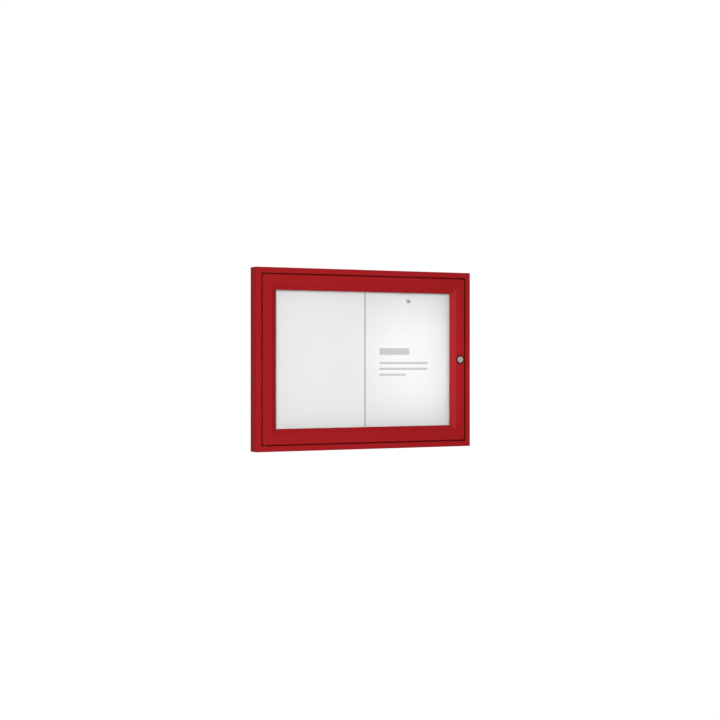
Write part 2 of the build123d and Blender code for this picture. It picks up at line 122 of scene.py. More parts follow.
def share(name, value, description):
    """A share of a whole that a user can change."""
    return FloatProperty(
        name=name, description=description, default=value, min=0.0, max=1.0, subtype="FACTOR"
    )


def brightness(name, value, description):
    """A brightness that a user can change."""
    return FloatProperty(name=name, description=description, default=value, min=0.0)


def power(name, watts, description):
    """A light's power that a user can change."""
    return FloatProperty(name=name, description=description, default=watts, unit="POWER", min=0.0)


def group(name, kind, description):
    """A group of settings that a user can change."""
    return PointerProperty(name=name, description=description, type=kind)


class CoatSettings(bpy.types.PropertyGroup):
    """Powder coat of the case and door bars."""

    tone: colour("Red", "#981A1E", "Colour of the powder coat")
    shade: colour("Deep red", "#92171A", "Slightly deeper red where the coat lies thicker")
    # Painted shade: this darker red on the rebate's wall stands in for the shade in the gap round the door
    recess: colour("Recess red", "#5C0C0F", "Red of the rebate's wall, where the spray reaches least")
    seam_tone: colour("Seam red", "#6E070B", "Red of the line where two mitred bars meet")
    seam: length("Mitre seam", 0.3, "Width of the line where two mitred bars meet")
    gap: length("Door gap", 3.0, "Gap between the door and the rebate's wall")
    peel: length("Orange peel", 1.4, "Width of the ripples in the coat")
    ripple: length("Ripple height", 0.012, "Height of the ripples in the coat")
    roughness: share("Roughness", 0.55, "Roughness of the coat")
    unevenness: share("Unevenness", 0.04, "How much rougher or smoother the coat gets from place to place")


class PanelSettings(bpy.types.PropertyGroup):
    """Enamelled steel back panel."""

    tone: colour("White", "#E4E4E4", "Colour of the enamelled front")
    roughness: share("Roughness", 0.35, "Roughness of the enamel")
    backing: colour("Backing", "#8D9092", "Colour of the thin coat on the rear")
    backing_cloud: colour("Backing cloud", "#9EA1A2", "Paler patches in the thin coat on the rear")
    backing_roughness: share("Backing roughness", 0.6, "Roughness of the thin coat on the rear")


class SheetSettings(bpy.types.PropertyGroup):
    """Printed A4 sheet."""

    paper: colour("Paper", "#E3E3E3", "Colour of the paper")
    fibre: colour("Fibre", "#DFDFDF", "Slightly greyer paper where the fibres lie denser")
    ink: colour("Ink", "#B8B8B8", "Grey of the printed heading and lines")
    margin_ink: colour("Margin ink", "#949494", "Grey of the printed margin line")
    margin: length("Margin line", 2.6, "Width of the line printed along the sheet's left edge")
    measure: length("Measure", 122.0, "Width of the printed block")
    shift: length("Shift", 7.0, "How far the printed block lies left of the sheet's middle")
    heading: length("Heading", 15.0, "Height of the printed heading bar")
    heading_rise: length("Heading rise", 18.0, "Height of the heading bar above the sheet's middle")
    heading_share: share("Heading share", 0.62, "Width of the heading bar as a share of the block's")
    line: length("Line", 5.0, "Height of a printed line")
    line_drop: length("Line drop", 8.0, "Depth of the first printed line below the sheet's middle")
    pitch: length("Pitch", 13.0, "Distance from one printed line to the next")
    last_share: share("Last line share", 0.55, "Width of the last printed line as a share of the block's")
    lines: IntProperty(name="Lines", description="Printed lines under the heading", default=3, min=0, max=12)


class ScrewSettings(bpy.types.PropertyGroup):
    """Sizes and places of the screws."""

    case_radius: length("Case screw", 2.0, "Shank radius of the screws in the case corners")
    case_head: length("Case head", 3.5, "Head radius of the screws in the case corners")
    case_crown: length("Case crown", 2.0, "Head height of the screws in the case corners")
    case_reach: length("Case reach", 10.0, "Length of the screws in the case corners, without their heads")
    case_along: length("Case along", 32.0, "Distance of the case's screws from its corners, along a bar")
    case_inward: length("Case inward", 6.15, "Distance of the case's screws from its outer faces")
    door_radius: length("Door screw", 1.5, "Shank radius of the screws in the door corners")
    door_head: length("Door head", 2.8, "Head radius of the screws in the door corners")
    door_reach: length("Door reach", 9.0, "Length of the screws in the door corners")
    door_along: length("Door along", 36.0, "Distance of the door's screws from its corners, along a bar")
    door_inward: length("Door inward", 10.1, "Distance of the door's screws from its outer faces")
    panel_radius: length("Panel screw", 1.5, "Shank radius of the screws in the back panel")
    panel_head: length("Panel head", 2.7, "Head radius of the screws in the back panel")
    panel_reach: length("Panel reach", 5.0, "Length of the screws in the back panel")
    panel_inset: length("Panel inset", 6.4, "Distance of the panel's screws from the case's outer faces")
    panel_spacing: length("Panel spacing", 200.0, "Distance from one of the panel's screws to the next")
    cam_radius: length("Cam screw", 1.5, "Shank radius of the screw that holds the cam")
    cam_head: length("Cam head", 3.6, "Head radius of the screw that holds the cam")
    cam_crown: length("Cam crown", 1.8, "Head height of the screw that holds the cam")
    cam_reach: length("Cam reach", 6.0, "Length of the screw that holds the cam, without its head")


class SealSettings(bpy.types.PropertyGroup):
    """Foam seal on the case's stop flange."""

    strip: length("Strip", 5.0, "Width of the strip")
    rounding: length("Rounding", 0.6, "Radius of the strip's edges")
    clearance: length("Clearance", 0.9, "Room that the strip leaves above and below the lock")


class LockSettings(bpy.types.PropertyGroup):
    """Keyway of the lock's plug."""

    keyway_width: length("Keyway", 1.7, "Width of the keyway")
    keyway_tilt: angle("Tilt", 35, "Angle of the keyway from upright")
    ward_reach: length("Ward reach", 0.55, "How far a ward stands out into the keyway")
    ward_height: length("Ward height", 1.1, "Height of a ward")
    ward_depth: length("Ward depth", 9.0, "How deep a ward goes into the plug")
    ward_offset: length("Ward offset", 1.2, "Distance of a ward from the middle of the keyway")
    ward_setback: length("Ward setback", 0.5, "How far a ward starts behind the plug's front")


class StageSettings(bpy.types.PropertyGroup):
    """Camera, light and floor."""

    azimuth: angle("Azimuth", 26.02, "Angle of the camera to the left of the case's front")
    distance: length("Distance", 3166.6, "Distance of the camera from its target")
    target: point("Target", (-1.6, 0.0, -1.1), "Point that the camera looks at")
    lens: FloatProperty(name="Lens", description="Focal length on a 36 mm sensor", default=71.29, min=1.0)
    floor_drop: length("Floor drop", 1300.0, "Height of the case's middle above the floor")
    floor_size: length("Floor size", 9000.0, "Length and width of the floor")
    floor_end: length("Floor end", 1900.0, "How far the floor goes on behind the case")
    floor_tone: colour("Floor", "#E9E8E6", "Colour of the floor")
    floor_cloud: colour("Floor cloud", "#EDECEA", "Paler patches of the floor")
    ambient: brightness("Ambient", 0.28, "Brightness of the room in front of the case")
    rear: brightness("Rear", 0.25, "Brightness of the room behind the case, beside the backdrop")
    backdrop: brightness("Backdrop", 1.02, "Brightness of the white backdrop behind the case")
    backdrop_turn: angle("Backdrop turn", 36, "How far the backdrop is turned to the right")
    backdrop_white: angle("Backdrop white", 46, "Angle from the backdrop's middle to where it fades")
    backdrop_edge: angle("Backdrop edge", 56, "Angle from the backdrop's middle to its edge")
    key: power("Key light", 14.0, "Power of the key light")
    key_place: point("Key place", (-1620.0, -3250.0, 220.0), "Place of the key light")
    key_size: length("Key size", 900.0, "Width of the key light")
    key_spread: angle("Key spread", 60, "Angle of the key light's beam")
    fill: power("Side light", 11.0, "Power of the light from the left")
    fill_place: point("Side place", (-3000.0, -500.0, 300.0), "Place of the light from the left")
    fill_size: length("Side size", 1200.0, "Width of the light from the left")
    top: power("Top light", 24.0, "Power of the light from above")
    top_place: point("Top place", (0.0, 700.0, 2400.0), "Place of the light from above")
    top_size: length("Top size", 1600.0, "Width of the light from above")
    glow: power("Glow", 75.0, "Power of the soft spot on the sheet")
    glow_place: point("Glow place", (-400.0, -2600.0, 500.0), "Place of the spot light")
    glow_size: length("Glow size", 50.0, "Radius of the spot light")
    glow_spread: angle("Glow spread", 7, "Angle of the spot light's beam")
    glow_shift: length("Glow shift", 35.0, "How far right of the sheet's middle the spot falls")


class NoticeCaseSettings(bpy.types.PropertyGroup):
    """All that a user would change on the notice case."""

    coat: group("Coat", CoatSettings, "Powder coat of the bars")
    panel: group("Panel", PanelSettings, "Enamel and rear of the back panel")
    sheet: group("Sheet", SheetSettings, "Paper and print of the notice sheet")
    screws: group("Screws", ScrewSettings, "Sizes and places of the screws")
    seal: group("Seal", SealSettings, "Sizes of the foam seal")
    lock: group("Lock", LockSettings, "Keyway and wards of the lock")
    stage: group("Stage", StageSettings, "Camera, lights, room and floor")


def add_node(tree, kind, inputs=None, **settings):
    """Add a node with its settings; an input is a value, or another node's output to link."""
    node = tree.nodes.new(kind)
    for name, value in settings.items():
        setattr(node, name, value)
    for socket, value in (inputs or {}).items():
        if isinstance(value, bpy.types.NodeSocket):
            tree.links.new(value, node.inputs[socket])
        else:
            node.inputs[socket].default_value = value
    return node


def start_material(name, constants):
    """A material with one Principled shader, and the Object coordinates that its patterns read."""
    material = bpy.data.materials.new(name)
    material.use_nodes = True
    tree = material.node_tree
    tree.nodes.clear()
    place = add_node(tree, "ShaderNodeTexCoord").outputs["Object"]
    shader = add_node(tree, "ShaderNodeBsdfPrincipled", constants)
    add_node(tree, "ShaderNodeOutputMaterial", {"Surface": shader.outputs["BSDF"]})
    return material, tree, shader, place


def mottle(tree, shader, place, size, detail, first, second):
    """Let two colours drift into each other in clouds of a size, and give the clouds."""
    noise = add_node(tree, "ShaderNodeTexNoise", {"Vector": place, "Scale": 1 / size, "Detail": detail})
    clouds = noise.outputs["Fac"]
    tone = add_node(tree, "ShaderNodeMix", {"Factor": clouds, "A": first, "B": second}, data_type="RGBA")
    tree.links.new(tone.outputs["Result"], shader.inputs["Base Color"])
    return clouds


def dress(material, *nodes):
    """Give a material to CAD nodes."""
    for name in nodes:
        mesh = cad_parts[name].data
        mesh.materials.clear()
        mesh.materials.append(material)


def seam_mask(tree, across, upward, width):
    """A factor of 1 on the diagonals where the mitred bars meet, and 0 beside them."""
    apart = add_node(tree, "ShaderNodeMath", {0: across, 1: upward}, operation="SUBTRACT")
    seam = add_node(
        tree, "ShaderNodeMath", {0: apart.outputs[0], 1: HALF_WIDTH - HALF_HEIGHT, 2: width / 2},
        operation="COMPARE",
    )
    return seam.outputs[0]


def wall_shade_mask(tree, across, upward, depth, gap):
    """A factor of 1 on the rebate's wall, which stands a gap outside the door, and 0 elsewhere: the place
    where a darker red is painted as shade.
    """
    door_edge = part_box("door_rail_top")[1]
    reaches = []
    for out, edge in ((across, door_edge[0]), (upward, door_edge[2])):
        reach = add_node(tree, "ShaderNodeMath", {0: out, 1: edge}, operation="SUBTRACT")
        reaches.append(reach.outputs[0])
    beyond = add_node(tree, "ShaderNodeMath", {0: reaches[0], 1: reaches[1]}, operation="MAXIMUM")
    tolerance = 0.5 * MM
    wall = add_node(
        tree, "ShaderNodeMath", {0: beyond.outputs[0], 1: gap, 2: tolerance}, operation="COMPARE"
    )
    # The wall starts just behind the case's front, over a soft edge
    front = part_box("case_rail_top")[0][1]
    fade_start = front + 0.5 * MM
    fade_end = front + 1.5 * MM
    behind = add_node(
        tree, "ShaderNodeMapRange", {"Value": depth, "From Min": fade_start, "From Max": fade_end}
    )
    wall_shade = add_node(
        tree, "ShaderNodeMath", {0: wall.outputs[0], 1: behind.outputs["Result"]}, operation="MULTIPLY"
    )
    return wall_shade.outputs[0]


def powder_coat(settings):
    # Polyester powder coat, sprayed and baked: one even red with a soft gloss, broken by a fine orange
    # peel and by the hairline where two mitred bars meet. The rebate's wall gets a painted shade, a darker
    # red in place of the shade that falls in the gap round the door
    material, tree, shader, place = start_material(
        "red_powder_coat", {"IOR": 1.45, "Specular IOR Level": 0.05}
    )
    drift = add_node(tree, "ShaderNodeTexNoise", {"Vector": place, "Scale": 1 / (90 * MM), "Detail": 2.0})
    tone = add_node(
        tree, "ShaderNodeMix",
        {"Factor": drift.outputs["Fac"], "A": tuple(settings.tone), "B": tuple(settings.shade)},
        data_type="RGBA",
    )
    axes = add_node(tree, "ShaderNodeSeparateXYZ", {"Vector": place})
    across = add_node(tree, "ShaderNodeMath", {0: axes.outputs["X"]}, operation="ABSOLUTE").outputs[0]
    upward = add_node(tree, "ShaderNodeMath", {0: axes.outputs["Z"]}, operation="ABSOLUTE").outputs[0]
    seam = seam_mask(tree, across, upward, settings.seam)
    joined = add_node(
        tree, "ShaderNodeMix",
        {"Factor": seam, "A": tone.outputs["Result"], "B": tuple(settings.seam_tone)}, data_type="RGBA",
    )
    # Painted shade: the rebate's wall, in the gap round the door, takes the darker red
    wall_shade = wall_shade_mask(tree, across, upward, axes.outputs["Y"], settings.gap)
    coat = add_node(
        tree, "ShaderNodeMix",
        {"Factor": wall_shade, "A": joined.outputs["Result"], "B": tuple(settings.recess)}, data_type="RGBA",
    )
    tree.links.new(coat.outputs["Result"], shader.inputs["Base Color"])
    gloss = add_node(
        tree, "ShaderNodeMapRange",
        {
            "Value": drift.outputs["Fac"],
            "To Min": settings.roughness - settings.unevenness,
            "To Max": settings.roughness + settings.unevenness,
        },
    )
    tree.links.new(gloss.outputs["Result"], shader.inputs["Roughness"])
    peel = add_node(tree, "ShaderNodeTexNoise", {"Vector": place, "Scale": 1 / settings.peel, "Detail": 1.0})
    bump = add_node(
        tree, "ShaderNodeBump",
        {"Strength": 0.6, "Distance": settings.ripple, "Height": peel.outputs["Fac"]},
    )
    tree.links.new(bump.outputs["Normal"], shader.inputs["Normal"])
    return material


def enamelled_steel(settings):
    # Steel sheet with a white stoved enamel front: smooth, faintly wavy, half gloss. The rear has only a
    # thin grey backing coat, dull and slightly cloudy
    material, tree, shader, place = start_material("white_enamelled_steel", {"IOR": 1.5})
    axes = add_node(tree, "ShaderNodeSeparateXYZ", {"Vector": place})
    skin = 0.2 * MM
    rear = add_node(
        tree, "ShaderNodeMath", {0: axes.outputs["Y"], 1: CAD_BOX[1][1] - skin}, operation="GREATER_THAN"
    )
    cloud = add_node(tree, "ShaderNodeTexNoise", {"Vector": place, "Scale": 1 / (35 * MM), "Detail": 4.0})
    backing = add_node(
        tree, "ShaderNodeMix",
        {
            "Factor": cloud.outputs["Fac"],
            "A": tuple(settings.backing),
            "B": tuple(settings.backing_cloud),
        },
        data_type="RGBA",
    )
    tone = add_node(
        tree, "ShaderNodeMix",
        {"Factor": rear.outputs[0], "A": tuple(settings.tone), "B": backing.outputs["Result"]},
        data_type="RGBA",
    )
    tree.links.new(tone.outputs["Result"], shader.inputs["Base Color"])
    gloss = add_node(
        tree, "ShaderNodeMapRange",
        {"Value": rear.outputs[0], "To Min": settings.roughness, "To Max": settings.backing_roughness},
    )
    tree.links.new(gloss.outputs["Result"], shader.inputs["Roughness"])
    wave = add_node(tree, "ShaderNodeTexNoise", {"Vector": place, "Scale": 1 / (4 * MM), "Detail": 1.0})
    bump = add_node(
        tree, "ShaderNodeBump", {"Strength": 0.3, "Distance": 0.01 * MM, "Height": wave.outputs["Fac"]}
    )
    tree.links.new(bump.outputs["Normal"], shader.inputs["Normal"])
    return material


def float_glass():
    # Float glass: clear, mirrors more at a slant, and lets the light on to the board behind it
    material = bpy.data.materials.new("float_glass")
    material.use_nodes = True
    tree = material.node_tree
    tree.nodes.clear()
    clear = add_node(tree, "ShaderNodeBsdfTransparent", {"Color": linear("#FFFFFF")})
    mirror = add_node(tree, "ShaderNodeBsdfGlossy", {"Color": linear("#FFFFFF"), "Roughness": 0.02})
    # A ray meets the rear face from inside, where Fresnel takes the inverse of its IOR: that is undone here,
    # because the pane doesn't bend the ray, and light at a slant has to reach the board
    glass_ior = 1.5
    side = add_node(tree, "ShaderNodeNewGeometry").outputs["Backfacing"]
    density = add_node(
        tree, "ShaderNodeMapRange", {"Value": side, "To Min": glass_ior, "To Max": 1 / glass_ior}
    )
    slant = add_node(tree, "ShaderNodeFresnel", {"IOR": density.outputs["Result"]})
    glass = add_node(
        tree, "ShaderNodeMixShader",
        {0: slant.outputs["Fac"], 1: clear.outputs["BSDF"], 2: mirror.outputs["BSDF"]},
    )
    add_node(tree, "ShaderNodeOutputMaterial", {"Surface": glass.outputs["Shader"]})
    return material


@cache
def moulded_rubber():
    # EPDM rubber, extruded: near black, dull, with a faint bloom and a fine grain
    material, tree, shader, place = start_material(
        "black_epdm_rubber", {"IOR": 1.5, "Specular IOR Level": 0.25, "Roughness": 0.75}
    )
    mottle(tree, shader, place, 12 * MM, 3.0, linear("#0E0E0E"), linear("#1A1A1A"))
    grain = add_node(tree, "ShaderNodeTexNoise", {"Vector": place, "Scale": 1 / (0.5 * MM), "Detail": 2.0})
    bump = add_node(
        tree, "ShaderNodeBump", {"Strength": 0.5, "Distance": 0.04 * MM, "Height": grain.outputs["Fac"]}
    )
    tree.links.new(bump.outputs["Normal"], shader.inputs["Normal"])
    return material


def extruded_pvc():
    # Rigid PVC, extruded: black, half gloss, with fine die lines that run along the bead
    material, tree, shader, place = start_material("black_extruded_pvc", {"IOR": 1.53, "Roughness": 0.45})
    mottle(tree, shader, place, 25 * MM, 2.0, linear("#1D1D1E"), linear("#2A2A2B"))
    # How far in a point lies from the ring's outer edge: the die lines follow it round the corners
    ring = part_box("glazing_bead_top")[1]
    axes = add_node(tree, "ShaderNodeSeparateXYZ", {"Vector": place})
    edges = []
    for axis, reach in (("X", ring[0]), ("Z", ring[2])):
        out = add_node(tree, "ShaderNodeMath", {0: axes.outputs[axis]}, operation="ABSOLUTE")
        edge = add_node(tree, "ShaderNodeMath", {0: reach, 1: out.outputs[0]}, operation="SUBTRACT")
        edges.append(edge.outputs[0])
    across = add_node(tree, "ShaderNodeMath", {0: edges[0], 1: edges[1]}, operation="MINIMUM")
    lines = add_node(
        tree, "ShaderNodeTexNoise", {"W": across.outputs[0], "Scale": 1 / (0.4 * MM), "Detail": 2.0},
        noise_dimensions="1D",
    )
    bump = add_node(
        tree, "ShaderNodeBump", {"Strength": 0.5, "Distance": 0.03 * MM, "Height": lines.outputs["Fac"]}
    )
    tree.links.new(bump.outputs["Normal"], shader.inputs["Normal"])
    return material


@cache
def satin_nickel():
    # Satin nickel plate on a turned lock body: warm grey metal with faint rings about the lock's axis
    material, tree, shader, place = start_material(
        "satin_nickel_plate", {"Metallic": 1.0, "Roughness": 0.42}
    )
    hub = middle("lock_housing")
    centred = add_node(
        tree, "ShaderNodeMapping", {"Vector": place, "Location": (-hub.x, 0.0, -hub.z)}
    )
    # The turning marks are drawn at 0.35 mm, coarser than a real tool's, so that they show
    spacing = 0.35 * MM
    rings = add_node(
        tree, "ShaderNodeTexWave",
        {
            "Vector": centred.outputs["Vector"],
            "Scale": WAVE_SPACING / spacing,
            "Distortion": 0.3,
            "Detail": 1.0,
        },
        wave_type="RINGS", rings_direction="Y",
    )
    tone = add_node(
        tree, "ShaderNodeMix",
        {"Factor": rings.outputs["Fac"], "A": linear("#F9E2DB"), "B": linear("#FFF0EB")}, data_type="RGBA",
    )
    tree.links.new(tone.outputs["Result"], shader.inputs["Base Color"])
    bump = add_node(
        tree, "ShaderNodeBump", {"Strength": 0.25, "Distance": 0.01 * MM, "Height": rings.outputs["Fac"]}
    )
    tree.links.new(bump.outputs["Normal"], shader.inputs["Normal"])
    return material


@cache
def zinc_plate():
    # Steel, zinc plated and blue passivated: cool bright grey with cloudy patches
    material, tree, shader, place = start_material("zinc_plated_steel", {"Metallic": 1.0})
    clouds = mottle(tree, shader, place, 2 * MM, 3.0, linear("#A9ADB2"), linear("#C6C9CC"))
    gloss = add_node(tree, "ShaderNodeMapRange", {"Value": clouds, "To Min": 0.36, "To Max": 0.52})
    tree.links.new(gloss.outputs["Result"], shader.inputs["Roughness"])
    return material


def cast_aluminium():
    # Die-cast aluminium: pale dull metal with a fine sandy skin
    material, tree, shader, place = start_material("die_cast_aluminium", {"Metallic": 1.0, "Roughness": 0.55})
    grain = mottle(tree, shader, place, 0.8 * MM, 4.0, linear("#9A9B9C"), linear("#B4B5B6"))
    bump = add_node(tree, "ShaderNodeBump", {"Strength": 0.6, "Distance": 0.05 * MM, "Height": grain})
    tree.links.new(bump.outputs["Normal"], shader.inputs["Normal"])
    return material


def acetal():
    # Acetal, injection moulded: black, waxy, nearly matt
    material, tree, shader, place = start_material(
        "black_acetal", {"IOR": 1.48, "Specular IOR Level": 0.2, "Roughness": 0.7}
    )
    mottle(tree, shader, place, 3 * MM, 2.0, linear("#141314"), linear("#1D1B1B"))
    return material


def inside_mask(tree, axes, centre, size):
    """A factor of 1 inside an upright rectangle on the sheet, and 0 outside it."""
    factors = []
    for axis, at, span in (("X", centre[0], size[0]), ("Z", centre[1], size[1])):
        inside = add_node(
            tree, "ShaderNodeMath", {0: axes.outputs[axis], 1: at, 2: span / 2}, operation="COMPARE"
        )
        factors.append(inside.outputs[0])
    both = add_node(tree, "ShaderNodeMath", {0: factors[0], 1: factors[1]}, operation="MULTIPLY")
    return both.outputs[0]


def printed_marks(settings):
    """Width, height and place above the sheet's middle of the heading bar and of each line."""
    marks = [(settings.measure * settings.heading_share, settings.heading, settings.heading_rise)]
    for row in range(settings.lines):
        last = row == settings.lines - 1
        width = settings.measure * settings.last_share if last else settings.measure
        marks.append((width, settings.line, -settings.line_drop - row * settings.pitch))
    return marks


def printed_paper(settings):
    # Office paper, 80 g, laser printed: bright white with a faint fibre mottle, grey toner for a line along
    # the left edge, a heading bar and a few plain lines
    material, tree, shader, place = start_material("printed_office_paper", {"IOR": 1.45, "Roughness": 0.85})
    sheet_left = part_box("notice_sheet")[0][0]
    centre = middle("notice_sheet")
    block_left = centre.x - settings.measure / 2 - settings.shift
    axes = add_node(tree, "ShaderNodeSeparateXYZ", {"Vector": place})
    print_mask = 0.0
    for width, height, rise in printed_marks(settings):
        mark = inside_mask(tree, axes, (block_left + width / 2, centre.z + rise), (width, height))
        print_mask = add_node(
            tree, "ShaderNodeMath", {0: mark, 1: print_mask}, operation="MAXIMUM"
        ).outputs[0]
    margin = add_node(
        tree, "ShaderNodeMath", {0: axes.outputs["X"], 1: sheet_left + settings.margin}, operation="LESS_THAN"
    )
    fibre = add_node(tree, "ShaderNodeTexNoise", {"Vector": place, "Scale": 1 / (1.5 * MM), "Detail": 4.0})
    stock = add_node(
        tree, "ShaderNodeMix",
        {"Factor": fibre.outputs["Fac"], "A": tuple(settings.paper), "B": tuple(settings.fibre)},
        data_type="RGBA",
    )
    block = add_node(
        tree, "ShaderNodeMix",
        {"Factor": print_mask, "A": stock.outputs["Result"], "B": tuple(settings.ink)}, data_type="RGBA",
    )
    tone = add_node(
        tree, "ShaderNodeMix",
        {"Factor": margin.outputs[0], "A": block.outputs["Result"], "B": tuple(settings.margin_ink)},
        data_type="RGBA",
    )
    tree.links.new(tone.outputs["Result"], shader.inputs["Base Color"])
    return material


def moulded_grip():
    # Polystyrene, injection moulded: mid grey with a satin skin
    material, tree, shader, place = start_material("grey_polystyrene", {"IOR": 1.59, "Roughness": 0.35})
    mottle(tree, shader, place, 2 * MM, 2.0, linear("#878E8C"), linear("#949B99"))
    return material


def plated_magnet():
    # Sintered magnet, barrel-plated with nickel: pale grey metal with a soft, slightly uneven shine
    material, tree, shader, place = start_material("nickel_plated_magnet", {"Metallic": 1.0})
    clouds = mottle(tree, shader, place, 1.5 * MM, 2.0, linear("#E3E7E6"), linear("#EEF1F0"))
    gloss = add_node(tree, "ShaderNodeMapRange", {"Value": clouds, "To Min": 0.5, "To Max": 0.6})
    tree.links.new(gloss.outputs["Result"], shader.inputs["Roughness"])
    return material


def floor_paint(settings):
    # Painted studio floor: pale, dull, faintly cloudy
    material, tree, shader, place = start_material("pale_floor_paint", {"Roughness": 0.8})
    mottle(tree, shader, place, 600 * MM, 3.0, tuple(settings.floor_tone), tuple(settings.floor_cloud))
    return material


def pick_faces(piece, test):
    """In edit mode, select only the faces that pass a test."""
    bpy.ops.mesh.select_mode(type="FACE")
    bpy.ops.mesh.select_all(action="DESELECT")
    bpy.ops.object.mode_set(mode="OBJECT")
    for face in piece.data.polygons:
        face.select = test(face)
    bpy.ops.object.mode_set(mode="EDIT")


def only(piece):
    """Make a piece the one that is selected and active."""
    bpy.ops.object.select_all(action="DESELECT")
    piece.select_set(True)
    bpy.context.view_layer.objects.active = piece


def settle(piece):
    """Put a piece's place into its mesh."""
    only(piece)
    bpy.ops.object.transform_apply(location=True, rotation=True, scale=True)


def box_block(size, centre):
    """A cube drawn out to a size, with its place in its mesh."""
    bpy.ops.object.select_all(action="DESELECT")
    bpy.ops.mesh.primitive_cube_add(size=1.0, location=centre)
    bpy.ops.transform.resize(value=size)
    block = bpy.context.object
    settle(block)
    return block


def cut_away(piece, cutter):
    """Cut a piece with another one, which is used up."""
    only(piece)
    cut = piece.modifiers.new("cut", "BOOLEAN")
    cut.operation = "DIFFERENCE"
    cut.solver = "EXACT"
    cut.object = cutter
    bpy.ops.object.modifier_apply(modifier=cut.name)
    only(cutter)
    bpy.ops.object.delete()
    only(piece)


def round_edges(piece, width, segments):
    """Round a piece's sharp edges."""
    only(piece)
    bevel = piece.modifiers.new("round", "BEVEL")
    bevel.width = width
    bevel.segments = segments
    bevel.limit_method = "ANGLE"
    bevel.angle_limit = math.radians(40)
    bpy.ops.object.modifier_apply(modifier=bevel.name)


def finish_piece(piece, node, body, material):
    """Shade a new piece, give it its finish and let it ride on its body, in place of a node or beside all."""
    only(piece)
    bpy.ops.object.shade_smooth_by_angle(angle=math.radians(35))
    piece.data.materials.clear()
    piece.data.materials.append(material)
    if node:
        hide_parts(node)
    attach(piece, body)


def cross_cutter(head_radius):
    """A tapered cross that cuts the driver's recess into a head whose top is at Y = 0."""
    arm = 0.55 * head_radius
    core = 0.3 * head_radius
    depth = 0.5 * head_radius
    taper = 0.5
    cutter = box_block((core, 2 * depth, core), (0, 0, 0))
    bpy.ops.object.mode_set(mode="EDIT")
    pick_faces(cutter, lambda face: abs(face.normal.y) < FACING)
    bpy.ops.mesh.extrude_faces_move(TRANSFORM_OT_shrink_fatten={"value": arm - core / 2})
    pick_faces(cutter, lambda face: face.normal.y < -FACING)
    bpy.ops.transform.resize(value=(taper, 1.0, taper), center_override=(0, 0, 0))
    bpy.ops.object.mode_set(mode="OBJECT")
    return cutter


def model_screw(radius, head_radius, reach, crown=0.0):
    """A screw along Y, whose head faces +Y: a pan head with a crown, seated at 0, or else sunk flush to 0."""
    cone = 0.0 if crown else head_radius - radius
    shank = reach - cone
    bpy.ops.object.select_all(action="DESELECT")
    bpy.ops.mesh.primitive_cylinder_add(
        vertices=32, radius=radius, depth=shank, location=(0, -cone - shank / 2, 0),
        rotation=(math.radians(90), 0, 0),
    )
    screw = bpy.context.object
    settle(screw)
    bpy.ops.object.mode_set(mode="EDIT")
    pick_faces(screw, lambda face: face.normal.y > FACING)
    widen = head_radius / radius
    bpy.ops.mesh.extrude_region_move(TRANSFORM_OT_translate={"value": (0, cone, 0)})
    bpy.ops.transform.resize(value=(widen, 1.0, widen), center_override=(0, 0, 0))
    if crown:
        rounding = 0.55 * crown
        bpy.ops.mesh.extrude_region_move(TRANSFORM_OT_translate={"value": (0, crown, 0)})
        bpy.ops.mesh.bevel(offset=rounding, segments=4, affect="EDGES")
    point_bevel = 0.35 * radius
    pick_faces(screw, lambda face: face.normal.y < -FACING and face.center.y < -reach / 2)
    bpy.ops.mesh.bevel(offset=point_bevel, segments=1, affect="EDGES")
    bpy.ops.object.mode_set(mode="OBJECT")
    cutter = cross_cutter(head_radius)
    bpy.ops.transform.translate(value=(0, crown, 0))
    settle(cutter)
    cut_away(screw, cutter)
    return screw


def spread(piece, places, turn, name):
    """Copy a piece to its places, each turned a step further about Y, and join the copies."""
    copies = []
    for count, place in enumerate(places):
        only(piece)
        bpy.ops.object.duplicate()
        copy = bpy.context.object
        bpy.ops.transform.rotate(value=count * turn, orient_axis="Y", center_override=(0, 0, 0))
        bpy.ops.transform.translate(value=place)
        settle(copy)
        copies.append(copy)
    only(piece)
    bpy.ops.object.delete()
    only(copies[0])
    for copy in copies:
        copy.select_set(True)
    if len(copies) > 1:
        bpy.ops.object.join()
    joined = bpy.context.object
    joined.name = name
    joined.data.name = name
    settle(joined)
    return joined


def corner_places(half_width, half_height, along, inward, depth):
    """Two places at each of a ring's corners: one in its rail and one in its stile."""
    places = []
    for right in (1, -1):
        for up in (1, -1):
            places.append((right * (half_width - along), depth, up * (half_height - inward)))
            places.append((right * (half_width - inward), depth, up * (half_height - along)))
    return places


def panel_places(inset, spacing):
    """Places along the back panel's edges: three in a rail and two in a stile."""
    rear = CAD_BOX[1][1]
    places = []
    for up in (1, -1):
        for column in (-1, 0, 1):
            places.append((column * spacing, rear, up * (HALF_HEIGHT - inset)))
    for right in (1, -1):
        for row in (-0.5, 0.5):
            places.append((right * (HALF_WIDTH - inset), rear, row * spacing))
    return places


class NOTICECASE_OT_coat_bars(bpy.types.Operator):
    """Give the case and door bars their red powder coat"""

    bl_idname = "notice_case.coat_bars"
    bl_label = "Coat the bars"

    def execute(self, context):
        coat = powder_coat(context.scene.notice_case.coat)
        for ring in ("case", "door"):
            dress(coat, *[f"{ring}_{side}" for side in SIDES])
        return {"FINISHED"}


class NOTICECASE_OT_fit_pane(bpy.types.Operator):
    """Finish the pane"""

    bl_idname = "notice_case.fit_pane"
    bl_label = "Fit the pane"

    def execute(self, context):
        dress(float_glass(), "door_glass")
        return {"FINISHED"}


class NOTICECASE_OT_fit_gasket(bpy.types.Operator):
    """Finish the gasket round the pane"""

    bl_idname = "notice_case.fit_gasket"
    bl_label = "Fit the gasket"

    def execute(self, context):
        dress(moulded_rubber(), "glazing_gasket")
        return {"FINISHED"}


